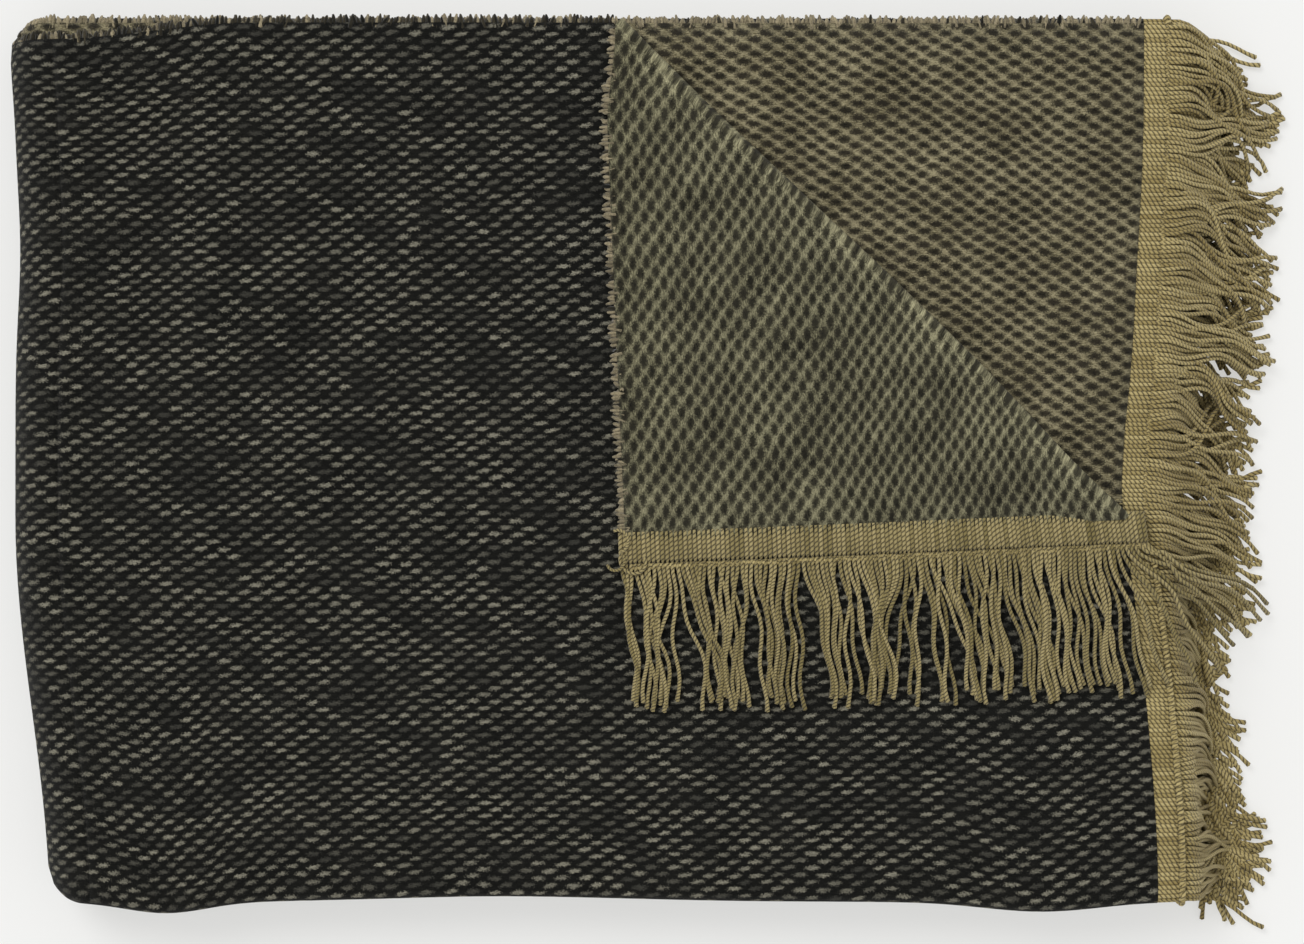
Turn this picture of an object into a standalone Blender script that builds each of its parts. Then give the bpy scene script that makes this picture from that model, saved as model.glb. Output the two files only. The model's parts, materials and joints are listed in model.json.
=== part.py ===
"""A fringed throw blanket, folded in quarters across and lengthwise, one top corner turned down.

Metres, +Z up. X runs along the strip towards the fringed end, Y across it. The origin is the middle
of the underside. The fold of the width makes a strip of four layers, L1 to L4. The fold of the
length stacks four such strips: the front one (with the first fringed end), the second one (with the
other end), the third and the base one.
"""
import math

import bmesh
import bpy
from mathutils import Vector

COLLECTION = "folded_throw_blanket"

# Driving dimensions
BODY_LENGTH = 0.420  # outer left fold to the fringed edge
BODY_WIDTH = 0.322  # lower fold to upper fold
CLOTH = 0.0019  # thickness of one layer
CLEARANCE = 0.0003  # between any two pieces
WRAP_GAP = 0.0006  # between a leaf and the fold of the length that carries on from it
HEADER_WIDTH = 0.0103  # corded tape across each short end of the throw, its edge cord included
CORD = 0.0019  # edge cord of the tape
FRINGE_LENGTH = 0.055  # cut cords beyond the tape
FRINGE_REACH = 0.040  # how far the hanging cords stand out from the tape
CENTRE_FOLD_INSET = 0.004  # the lengthwise centre fold stays inside the fringed edge
SELVEDGE_INSET = 0.002  # the two top selvedges stop below the upper fold
CORNER_ALONG = 0.201  # turned corner, along the selvedge
CORNER_DOWN = 0.193  # turned corner, down the tape
CREASE_LEAD = 0.001  # flat run of the corner's bend on each side of the fold
FOLD_STEPS = 6  # facets round a fold of the width
WRAP_STEPS = 12  # facets round a fold of the length
HANG_STEPS = 10  # facets down the hanging fringe
HANG_POWER = 2.2  # the higher, the later and sharper the hanging fringe turns down
NEST_GAP = 0.00045  # between two nested sheaves of the hanging fringe
CORD_FACETS = 2  # resolution of a round cord's section
WELD = 0.00001  # points closer than this are one
ROUGHNESS = 0.95

# Worked out from them
PITCH = CLOTH + CLEARANCE
LAYERS = 4
STRIPS = 4
STACK = STRIPS * LAYERS
LEFT = -(BODY_LENGTH + FRINGE_REACH) / 2
RIGHT = LEFT + BODY_LENGTH
BOTTOM = -BODY_WIDTH / 2
TOP = BODY_WIDTH / 2
SELVEDGE = TOP - SELVEDGE_INSET
INNER_RADIUS = PITCH / 2
OUTER_RADIUS = (LAYERS - 1) * PITCH / 2

BASE, THIRD, SECOND, FRONT = range(STRIPS)
FRONT_TOP = STACK - 1  # layer number of L1 in the front strip


def layer_z(number):
    """Middle height of a layer, counted from 0 at the underside."""
    return CLOTH / 2 + number * PITCH


BOOK_Z = layer_z((STACK - 1) / 2)
BOOK_X = LEFT + BOOK_Z
CENTRE_Z = layer_z(LAYERS - 0.5)
CENTRE_X = RIGHT - CENTRE_FOLD_INSET - CENTRE_Z

HEADER_START = RIGHT - HEADER_WIDTH
CORD_X = RIGHT - CORD / 2
TAPE_END = RIGHT - CORD - CLEARANCE
CLOTH_END = HEADER_START - CLEARANCE
FRINGE_START = RIGHT + CLEARANCE

# Diagonal fold of the turned corner, from the selvedge (A) to the tape's outer edge (B)
CREASE_A = Vector((RIGHT - CORNER_ALONG, SELVEDGE))
CREASE_B = Vector((RIGHT, SELVEDGE - CORNER_DOWN))
CREASE_ALONG = (CREASE_B - CREASE_A).normalized()
CREASE_OUT = Vector((-CREASE_ALONG.y, CREASE_ALONG.x))
CREASE_ANGLE = math.atan2(CREASE_ALONG.y, CREASE_ALONG.x)
CREASE_Z = layer_z(FRONT_TOP + 0.5)
CREASE_CUT = CREASE_LEAD + CLEARANCE  # what lies beside the bend starts this far from the fold


def crease_y(x, inside):
    """Y of the line that runs beside the diagonal, the given distance below it, at this X."""
    return CREASE_B.y - ((x - CREASE_B.x) * CREASE_OUT.x + inside) / CREASE_OUT.y


def remove_everything():
    for thing in list(bpy.data.objects):
        bpy.data.objects.remove(thing, do_unlink=True)


def new_collection(name):
    found = bpy.data.collections.new(name)
    bpy.context.scene.collection.children.link(found)
    return found


def material(name, colour):
    made = bpy.data.materials.new(name)
    made.use_nodes = True
    shader = made.node_tree.nodes["Principled BSDF"]
    shader.inputs["Base Color"].default_value = (*colour, 1)
    shader.inputs["Roughness"].default_value = ROUGHNESS
    shader.inputs["Metallic"].default_value = 0
    made.diffuse_color = (*colour, 1)
    return made


remove_everything()
PARTS = new_collection(COLLECTION)
CUTTERS = new_collection("cutters")

CHARCOAL = (0.018, 0.018, 0.016)
TAUPE = (0.115, 0.100, 0.060)
KHAKI = (0.250, 0.205, 0.100)


def finish(name, data, colour):
    """Names a part, gives it its own material and puts it in the throw's collection."""
    data.materials.append(material(name, colour))
    part = bpy.data.objects.new(name, data)
    PARTS.objects.link(part)
    return part


def arc(centre_y, centre_z, radius, from_top, side):
    """Half circle in the YZ plane round a fold of the width, between its two layers."""
    turn = 1 if from_top else -1
    points = []
    for step in range(FOLD_STEPS + 1):
        angle = math.pi * step / FOLD_STEPS
        points.append((centre_y + side * radius * math.sin(angle), centre_z + turn * radius * math.cos(angle)))
    return points


def strip_path(strip, first_y=SELVEDGE):
    """Section through a strip: L1, round the outer fold to L4, L3 and round the inner fold to L2.

    The front and third strips have L1 uppermost, and the second and base strips are turned over.
    first_y is where L1 begins.
    """
    upright = strip in (FRONT, THIRD)
    middle = layer_z(strip * LAYERS + (LAYERS - 1) / 2)
    way = 1 if upright else -1
    outer = CLOTH / 2 + OUTER_RADIUS
    lower_fold = BOTTOM + outer
    upper_fold = TOP - CLOTH / 2 - INNER_RADIUS
    points = [(first_y, middle + way * OUTER_RADIUS)]
    points += arc(lower_fold, middle, OUTER_RADIUS, upright, -1)
    points += arc(upper_fold, middle - way * PITCH, INNER_RADIUS, not upright, 1)
    points += arc(lower_fold, middle, INNER_RADIUS, not upright, -1)
    points.append((SELVEDGE, middle + way * INNER_RADIUS))
    return points


def shell(thing):
    """Gives an open surface the cloth's thickness, half on each side."""
    solid = thing.modifiers.new("thickness", "SOLIDIFY")
    solid.thickness = CLOTH
    solid.offset = 0
    solid.use_even_offset = True
    return thing


def ribbon(name, strip, start, end, colour, first_y=SELVEDGE):
    """The folded section of a strip, drawn out along X from start to end."""
    path = strip_path(strip, first_y)
    points = [(x, y, z) for x in (start, end) for y, z in path]
    count = len(path)
    faces = [(i, i + 1, count + i + 1, count + i) for i in range(count - 1)]
    mesh = bpy.data.meshes.new(name)
    mesh.from_pydata(points, [], faces)
    return shell(finish(name, mesh, colour))


def wrap(name, strip, axis_x, axis_z, left, colour):
    """A fold of the length: the strip's section turned half round an axis along Y."""
    path = strip_path(strip)
    mesh = bpy.data.meshes.new(name)
    mesh.from_pydata([(0, y, z - axis_z) for y, z in path], [(i, i + 1) for i in range(len(path) - 1)], [])
    part = finish(name, mesh, colour)
    part.location = (axis_x, 0, axis_z)
    screw = part.modifiers.new("turn", "SCREW")
    screw.axis = "Y"
    screw.angle = -math.pi if left else math.pi
    screw.steps = WRAP_STEPS
    screw.render_steps = WRAP_STEPS
    screw.merge_threshold = WELD
    return shell(part)


def path_cord(name, points, diameter, colour, parent=None):
    """A round cord along a chain of points, with flat ends."""
    curve = bpy.data.curves.new(name, "CURVE")
    curve.dimensions = "3D"
    curve.bevel_depth = diameter / 2
    curve.bevel_resolution = CORD_FACETS
    curve.use_fill_caps = True
    spline = curve.splines.new("POLY")
    spline.points.add(len(points) - 1)
    for point, place in zip(spline.points, points):
        point.co = (*place, 1)
    part = finish(name, curve, colour)
    part.parent = parent
    return part


def flat_outline(name, outline, thickness, colour):
    """A flat shape in its own XY plane, closed and of even thickness."""
    curve = bpy.data.curves.new(name, "CURVE")
    curve.dimensions = "2D"
    curve.fill_mode = "BOTH"
    curve.extrude = thickness / 2
    spline = curve.splines.new("POLY")
    spline.points.add(len(outline) - 1)
    for point, place in zip(spline.points, outline):
        point.co = (*place, 0, 1)
    spline.use_cyclic_u = True
    return finish(name, curve, colour)


def corner_cutter():
    """Prism over the missing corner of L1: it stops between L1 and the layer below it."""
    floor = layer_z(FRONT_TOP) - CLOTH / 2 - CLEARANCE / 2
    height = 2 * PITCH
    left, right = -BODY_WIDTH, BODY_LENGTH
    near, far = -CREASE_CUT, BODY_LENGTH
    outline = [(left, near), (right, near), (right, far), (left, far)]
    curve = bpy.data.curves.new("corner_cutter_outline", "CURVE")
    curve.dimensions = "2D"
    curve.fill_mode = "BOTH"
    curve.extrude = height / 2
    spline = curve.splines.new("POLY")
    spline.points.add(len(outline) - 1)
    for point, place in zip(spline.points, outline):
        point.co = (*place, 0, 1)
    spline.use_cyclic_u = True
    guide = bpy.data.objects.new("corner_cutter_outline", curve)
    guide.location = (CREASE_A.x, CREASE_A.y, floor + height / 2)
    guide.rotation_euler = (0, 0, CREASE_ANGLE)
    CUTTERS.objects.link(guide)
    return as_mesh_cutter(guide, "corner_cutter")


def as_mesh_cutter(guide, name):
    """Turns a curve into a closed mesh in the same place, hidden and drawn as wire."""
    bpy.context.view_layer.update()
    mesh = bpy.data.meshes.new_from_object(guide.evaluated_get(bpy.context.evaluated_depsgraph_get()))
    weld = bmesh.new()
    weld.from_mesh(mesh)
    bmesh.ops.remove_doubles(weld, verts=weld.verts, dist=WELD)
    weld.to_mesh(mesh)
    weld.free()
    cutter = bpy.data.objects.new(name, mesh)
    cutter.matrix_world = guide.matrix_world
    bpy.data.objects.remove(guide)
    CUTTERS.objects.link(cutter)
    cutter.hide_render = True
    cutter.display_type = "WIRE"
    return cutter


def cut(part, cutter):
    taken = part.modifiers.new("turned corner", "BOOLEAN")
    taken.object = cutter
    taken.operation = "DIFFERENCE"
    taken.solver = "EXACT"


def make_cloth(cutter):
    front = ribbon("front_leaf", FRONT, BOOK_X + WRAP_GAP, CLOTH_END, CHARCOAL)
    cut(front, cutter)
    ribbon("second_leaf", SECOND, BOOK_X + WRAP_GAP, CLOTH_END, TAUPE)
    inner_end = CENTRE_X - WRAP_GAP
    ribbon("third_leaf", THIRD, BOOK_X + WRAP_GAP, inner_end, CHARCOAL)
    ribbon("base_leaf", BASE, BOOK_X + WRAP_GAP, inner_end, TAUPE)
    wrap("left_outer_fold", FRONT, BOOK_X, BOOK_Z, True, CHARCOAL)
    wrap("left_inner_fold", SECOND, BOOK_X, BOOK_Z, True, TAUPE)
    wrap("right_centre_fold", THIRD, CENTRE_X, CENTRE_Z, False, CHARCOAL)


def make_headers(cutter):
    """Tape and edge cord round both fringed ends, all four layers of each."""
    for end, strip in (("front", FRONT), ("second", SECOND)):
        tape = ribbon(f"{end}_header_tape", strip, HEADER_START, TAPE_END, KHAKI)
        if strip == FRONT:
            cut(tape, cutter)
        first_y = crease_y(CORD_X + CORD / 2, CREASE_CUT) if strip == FRONT else SELVEDGE
        route = [(CORD_X, y, z) for y, z in strip_path(strip, first_y)]
        path_cord(f"{end}_edge_cord", route, CORD, KHAKI)


def hang(level, reach, x):
    """Height of the hanging fringe at X: level at the tape, then curving down almost to the floor."""
    share = (x - FRINGE_START) / (reach - CLEARANCE)
    return CLEARANCE + (level - CLEARANCE) * (1 - share**HANG_POWER)


def hanging_fringe(name, upper, lower, upper_reach, lower_reach, low_y, high_y):
    """Cords hanging over the edge between two curves, drawn out along Y."""
    outer = []
    inner = []
    for i in range(HANG_STEPS + 1):
        share = math.sin(math.pi / 2 * i / HANG_STEPS)
        x_outer = FRINGE_START + (upper_reach - CLEARANCE) * share
        x_inner = FRINGE_START + (lower_reach - CLEARANCE) * share
        outer.append((x_outer, hang(upper, upper_reach, x_outer)))
        inner.append((x_inner, hang(lower, lower_reach, x_inner)))
    part = flat_outline(name, outer + inner[::-1], high_y - low_y, KHAKI)
    part.rotation_euler = (math.pi / 2, 0, 0)
    part.location = (0, (low_y + high_y) / 2, 0)
    return part


def make_hanging_fringes():
    """Nested sheaves of cords: L1 below the turned corner, L2 to L4 under it, and the second end."""
    top = layer_z(FRONT_TOP) + CLOTH / 2
    under = top - PITCH
    second = top - LAYERS * PITCH
    base = second - LAYERS * PITCH
    reach = [FRINGE_REACH, FRINGE_REACH - PITCH, FRINGE_REACH - LAYERS * PITCH, FRINGE_REACH - 2 * LAYERS * PITCH]
    rise = NEST_GAP - CLEARANCE
    front_high = CREASE_B.y - CLEARANCE
    hanging_fringe("front_fringe", top, under + rise, reach[0], reach[1] + NEST_GAP, BOTTOM, front_high)
    hanging_fringe("under_fringe", under - CLEARANCE, second + rise, reach[1], reach[2] + NEST_GAP, BOTTOM, TOP)
    hanging_fringe("second_fringe", second - CLEARANCE, base + rise, reach[2], reach[3] + NEST_GAP, BOTTOM, TOP)


def corner_hinge():
    """Empty on the diagonal. Turned half round, it lays what is modelled beyond the fold back on top."""
    hinge = bpy.data.objects.new("corner_hinge", None)
    hinge.location = (CREASE_A.x, CREASE_A.y, CREASE_Z)
    hinge.rotation_euler = (math.pi, 0, CREASE_ANGLE)
    PARTS.objects.link(hinge)
    return hinge


def on_hinge(x, y):
    """A place in the unfolded top layer, as (along the diagonal, out from it)."""
    offset = Vector((x, y)) - CREASE_A
    return offset.dot(CREASE_ALONG), offset.dot(CREASE_OUT)


def turned_slab(name, outline, colour, hinge):
    part = flat_outline(name, [on_hinge(x, y) for x, y in outline], CLOTH, colour)
    part.parent = hinge
    part.location = (0, 0, -INNER_RADIUS)
    return part


def strip_beyond(start, end):
    """Outline of the stretch of L1 between two X values that lies beyond the diagonal."""
    return [
        (start, crease_y(start, -CREASE_CUT)),
        (end, crease_y(end, -CREASE_CUT)),
        (end, SELVEDGE),
        (start, SELVEDGE),
    ]


def make_turned_corner(hinge):
    first_x = CREASE_A.x + CREASE_CUT / CREASE_OUT.x
    turned_slab("corner_flap", strip_beyond(first_x, CLOTH_END)[1:], TAUPE, hinge)
    turned_slab("turned_header_tape", strip_beyond(HEADER_START, TAPE_END), KHAKI, hinge)
    low = crease_y(FRINGE_START, -CREASE_CUT)
    end = FRINGE_START + FRINGE_LENGTH
    fringe = [(FRINGE_START, low), (end, low), (end, SELVEDGE), (FRINGE_START, SELVEDGE)]
    turned_slab("turned_fringe", fringe, KHAKI, hinge)
    ends = (crease_y(CORD_X - CORD / 2, -CREASE_CUT), SELVEDGE)
    route = [(*on_hinge(CORD_X, y), -INNER_RADIUS) for y in ends]
    path_cord("turned_edge_cord", route, CORD, KHAKI, hinge)


def make_corner_crease():
    """The top layer's bend over the diagonal, a half tube between L1 and the turned corner."""
    length = (CREASE_B - CREASE_A).length
    section = [(-CREASE_LEAD, INNER_RADIUS)]
    for step in range(FOLD_STEPS + 1):
        angle = math.pi * step / FOLD_STEPS
        section.append((INNER_RADIUS * math.sin(angle), INNER_RADIUS * math.cos(angle)))
    section.append((-CREASE_LEAD, -INNER_RADIUS))
    points = [(along, out, up) for along in (0, length) for out, up in section]
    count = len(section)
    faces = [(i, i + 1, count + i + 1, count + i) for i in range(count - 1)]
    mesh = bpy.data.meshes.new("corner_crease")
    mesh.from_pydata(points, [], faces)
    crease = shell(finish("corner_crease", mesh, CHARCOAL))
    crease.location = (CREASE_A.x, CREASE_A.y, CREASE_Z)
    crease.rotation_euler = (0, 0, CREASE_ANGLE)


def build():
    cutter = corner_cutter()
    make_cloth(cutter)
    make_headers(cutter)
    make_hanging_fringes()
    make_turned_corner(corner_hinge())
    make_corner_crease()


build()
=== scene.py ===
"""Folded throw blanket: brushed two-faced cloth, corded tapes and a cut cord fringe.

Metres, Z up. X runs along the folded strip towards the fringe and Y across it, towards the selvedges.
The throw is folded in quarters across, which gives each strip four layers (L1 to L4, L1 outermost), and
in quarters lengthwise, which gives four strips. The corner of the top layer is turned down over a diagonal.
"""
import json
import math

import bpy
import numpy as np
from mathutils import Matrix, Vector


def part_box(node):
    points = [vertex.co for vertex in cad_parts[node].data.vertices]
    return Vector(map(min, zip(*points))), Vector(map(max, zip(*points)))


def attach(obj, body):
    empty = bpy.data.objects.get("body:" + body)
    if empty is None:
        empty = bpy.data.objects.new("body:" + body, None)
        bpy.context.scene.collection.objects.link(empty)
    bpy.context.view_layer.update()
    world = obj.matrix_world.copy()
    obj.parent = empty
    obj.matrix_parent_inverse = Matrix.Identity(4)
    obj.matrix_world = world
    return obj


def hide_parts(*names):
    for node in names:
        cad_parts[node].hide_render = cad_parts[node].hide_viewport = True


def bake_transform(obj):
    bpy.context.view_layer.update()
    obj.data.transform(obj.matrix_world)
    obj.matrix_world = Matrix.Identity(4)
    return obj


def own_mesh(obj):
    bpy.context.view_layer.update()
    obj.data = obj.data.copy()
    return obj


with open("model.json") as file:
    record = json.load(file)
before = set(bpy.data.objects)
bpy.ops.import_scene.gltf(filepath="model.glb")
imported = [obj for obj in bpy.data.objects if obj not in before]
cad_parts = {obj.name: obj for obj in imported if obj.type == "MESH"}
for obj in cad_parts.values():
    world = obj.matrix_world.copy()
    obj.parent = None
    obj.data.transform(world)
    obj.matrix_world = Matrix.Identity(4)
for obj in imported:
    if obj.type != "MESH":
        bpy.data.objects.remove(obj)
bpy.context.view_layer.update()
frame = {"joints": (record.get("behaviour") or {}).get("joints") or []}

MM = 0.001


# ---------------------------------------------------------------- sizes, from the loaded frame


def low(node):
    return np.array(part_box(node)[0])


def high(node):
    return np.array(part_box(node)[1])


JOINTS = {joint["name"]: joint for joint in frame["joints"]}
BOOK_X, _, BOOK_Z = JOINTS["book_fold"]["pos_m"]
HINGE = np.array(JOINTS["corner_fold"]["pos_m"])
ALONG = -np.array(JOINTS["corner_fold"]["axis"])  # down the diagonal
OUT = np.array([-ALONG[1], ALONG[0], 0.0])  # square to the diagonal, towards the corner

CLOTH = high("corner_flap")[2] - low("corner_flap")[2]
PITCH = (high("base_leaf")[2] - low("base_leaf")[2] - CLOTH) / 3
LEFT = low("left_outer_fold")[0]
TAPE_OUT = high("front_edge_cord")[0]
CLOTH_END = high("front_leaf")[0]
BOTTOM = low("base_leaf")[1]
TOP = high("base_leaf")[1]
SELVEDGE = HINGE[1]
INNER = PITCH / 2
OUTER = 3 * PITCH / 2
LAYERS = 4
BASE, THIRD, SECOND, FRONT = range(4)


def layer_z(number):
    """Middle height of a layer, counted from 0 at the underside."""
    return CLOTH / 2 + number * PITCH


def facing(strip):
    """1 for a strip whose L1 is its top layer, -1 where L1 is its lowest."""
    return 1 if strip in (FRONT, THIRD) else -1


def middle_z(strip):
    """Middle height of a strip of four layers."""
    return layer_z(strip * LAYERS + 1.5)


CENTRE_Z = layer_z(LAYERS - 0.5)
CENTRE_X = high("right_centre_fold")[0] - CENTRE_Z
TOP_Z = layer_z(15)
FLAP_Z = layer_z(16)
BEND_Y = BOTTOM + CLOTH / 2 + OUTER
UPPER_Y = TOP - CLOTH / 2 - INNER
CLOTH_EDGE = CLOTH_END + 1.2 * MM  # the cloth ends a little inside its tape
WRAP_OUTER = TOP_Z - BOOK_Z  # radius of the outermost layer round the left fold

CORD_PITCH = 1.6 * MM  # the fringe cords lie side by side across the tape
CORD_RADIUS = 0.77 * MM
FRINGE_LENGTH = 54 * MM
CORD_STEPS = 13  # segments of a cord's free length
CORD_SIDES = 5
TUFT_PITCH = 1.15 * MM  # the weft's turns at the selvedge
RNG = np.random.default_rng(16)


# ---------------------------------------------------------------- small formulas


def smooth(value, start, end):
    """0 before start, 1 after end, and a smoothstep cubic between them."""
    t = np.clip((value - start) / (end - start), 0, 1)
    return t * t * (3 - 2 * t)


def bell(value, middle, width):
    """A bell curve of height 1: e to the minus square of the distance from the middle over the width."""
    return np.exp(-(((value - middle) / width) ** 2))


def bells(value, rows):
    """Sum of bells. Each row is height, middle and width in millimetres; the sum is in metres."""
    return sum(height * MM * bell(value, middle * MM, width * MM) for height, middle, width in rows)


def round_corner(a, b):
    """Elliptical map of the unit square onto a quarter disc: each side shrinks by the other's square."""
    return a * np.sqrt(1 - b * b / 2), b * np.sqrt(1 - a * a / 2)


def past_diagonal(x, y):
    """Distance from the diagonal, positive towards the corner that is turned down."""
    return (x - HINGE[0]) * OUT[0] + (y - HINGE[1]) * OUT[1]


# ---------------------------------------------------------------- how the folded throw has settled

CORNER_RADIUS = 14 * MM  # the left fold's two ends
EDGE_REACH = 110 * MM  # how far in from an edge its wavering is felt
LEFT_LEAN = 12.5 * MM  # the left fold leans in towards the bottom
LEFT_WAVER = ((1.8, 77, 30), (-1.8, 152, 22))
LOWER_LIFT = 1.6 * MM
LOWER_WAVER = ((2.0, -50, 60), (-3.6, 140, 28), (-4.2, -181, 25))
RIGHT_WAVER = ((-8.2, -10, 45), (-2.5, 60, 40))
RIGHT_LEAN = 4.8 * MM
PUFFS = (  # height in mm, wavelengths along X and Y in mm, phase
    (0.35, 170, 310, 0.6),
    (0.3, 97, -140, 2.1),
    (0.2, 61, 83, 4.0),
)


def plan_shift(x, y, z):
    """Move in plan: a hand-folded outline.

    Near the left fold X grows by a smooth lean towards the bottom and two bells of wavering; near the
    lower fold Y grows by a constant and three bells; towards the fringed edge X changes by two bells
    and a lean. The turned corner is pulled further, to the left by its free side and up by its lower end.
    """
    near_left = 1 - smooth(x, LEFT, LEFT + EDGE_REACH)
    near_bottom = 1 - smooth(y, BOTTOM, BOTTOM + EDGE_REACH)
    near_right = smooth(x, 60 * MM, TAPE_OUT)
    lean = LEFT_LEAN * smooth(-y, 20 * MM, 165 * MM) + bells(y, LEFT_WAVER)
    bow = RIGHT_LEAN * smooth(-y, 60 * MM, 155 * MM) + bells(y, RIGHT_WAVER)
    flap = smooth(z, TOP_Z + 0.7 * MM, FLAP_Z - 0.4 * MM)
    below = SELVEDGE - y
    pulled_left = -4.5 * MM * flap * (1 - smooth(x, -20 * MM, 90 * MM)) * smooth(below, 0, 40 * MM)
    pulled_up = 4.2 * MM * flap * smooth(below, 70 * MM, 190 * MM)
    lift = LOWER_LIFT + bells(x, LOWER_WAVER)
    return near_left * lean + near_right * bow + pulled_left, near_bottom * lift + pulled_up


def height_shift(x, y, z):
    """Move in height: broad puffs, in proportion to how high in the stack a point is.

    The puffs are three sine waves in plan, up to 1.7 mm together. Two old creases from an earlier fold
    are narrow bells taken off them, the deeper one between two low ridges. Layers sag a little where the
    corner is turned off them, stay nearly level under it, and keep their height along its diagonal.
    """
    wave = sum(
        height * (1 + np.sin(2 * np.pi * (x / (along * MM) + y / (across * MM)) + phase))
        for height, along, across, phase in PUFFS
    )
    crease_ends = smooth(y, -110 * MM, -70 * MM) * (1 - smooth(y, 80 * MM, 115 * MM))
    old_fold = 1.4 * bell(x, -126 * MM, 2.6 * MM) * crease_ends
    faint_fold = 0.4 * bell(x, -64 * MM, 3.0 * MM)
    ridges = 0.55 * (bell(x, -131.5 * MM, 3 * MM) + bell(x, -120.5 * MM, 3 * MM))
    off = past_diagonal(x, y)
    covered = smooth(x, HINGE[0] - 45 * MM, HINGE[0] - 8 * MM) * smooth(y, -120 * MM, -85 * MM)
    beyond = -0.6 * smooth(off, 3 * MM, 26 * MM)
    before = (1 - 0.85 * covered) * smooth(-off, 3 * MM, 26 * MM)
    puff = np.maximum(wave + ridges - old_fold - faint_fold, -0.5)
    return z / TOP_Z * MM * np.where(off > 0, beyond, before) * puff


def relax(points):
    """Lets the crisp fold settle: rounded left corners, then the moves in plan and in height."""
    x, y, z = (points[..., k].copy() for k in range(3))
    for edge, way in ((TOP, 1), (BOTTOM, -1)):
        a = np.clip((LEFT + CORNER_RADIUS - x) / CORNER_RADIUS, 0, 1)
        b = np.clip((way * (y - edge) + CORNER_RADIUS) / CORNER_RADIUS, 0, 1)
        inside = (a > 0) & (b > 0)
        round_a, round_b = round_corner(a, b)
        x = np.where(inside, LEFT + CORNER_RADIUS * (1 - round_a), x)
        y = np.where(inside, edge - way * CORNER_RADIUS * (1 - round_b), y)
    shift_x, shift_y = plan_shift(x, y, z)
    return np.stack([x + shift_x, y + shift_y, z + height_shift(x, y, z)], -1)


# ---------------------------------------------------------------- meshes


def add_attribute(mesh, name, values):
    """Stores one number per point on a mesh, for its material to read."""
    layer = mesh.attributes.new(name, "FLOAT", "POINT")
    layer.data.foreach_set("value", np.asarray(values, np.float32).ravel())


def new_piece(name, points, faces, materials):
    """One smooth mesh object at the origin from arrays of points and quads."""
    mesh = bpy.data.meshes.new(name)
    mesh.vertices.add(len(points))
    mesh.vertices.foreach_set("co", np.asarray(points, np.float32).ravel())
    faces = np.asarray(faces, np.int32)
    mesh.loops.add(faces.size)
    mesh.loops.foreach_set("vertex_index", faces.ravel())
    mesh.polygons.add(len(faces))
    mesh.polygons.foreach_set("loop_start", np.arange(0, faces.size, 4, dtype=np.int32))
    mesh.polygons.foreach_set("loop_total", np.full(len(faces), 4, np.int32))
    mesh.polygons.foreach_set("use_smooth", np.full(len(faces), True))
    mesh.update(calc_edges=True)
    mesh.validate()
    for material in materials:
        mesh.materials.append(material)
    piece = bpy.data.objects.new(name, mesh)
    bpy.context.scene.collection.objects.link(piece)
    return piece


def add_uvs(piece, uvs):
    """Stores a UV per corner of each face, in millimetres of the cloth or cord."""
    layer = piece.data.uv_layers.new(name="cloth_mm")
    layer.data.foreach_set("uv", np.asarray(uvs, np.float32).ravel())


def grid_faces(rows, columns):
    """Quads of a grid whose points run row by row."""
    r, c = np.meshgrid(np.arange(rows - 1), np.arange(columns - 1), indexing="ij")
    corner = (r * columns + c).ravel()
    return np.stack([corner, corner + 1, corner + columns + 1, corner + columns], -1)


def cloth_thickness(piece, thickness):
    """Solidify: dark face on the surface's own side, beige on the other, cut yarn round the rim."""
    solid = piece.modifiers.new("thickness", "SOLIDIFY")
    solid.thickness = thickness
    solid.offset = 0
    solid.material_offset = 1
    solid.material_offset_rim = 2
    return piece


def with_ends(values, first, last):
    """Rows with one more before the first and one more after the last."""
    return np.concatenate([first, values, last], 1)


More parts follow.
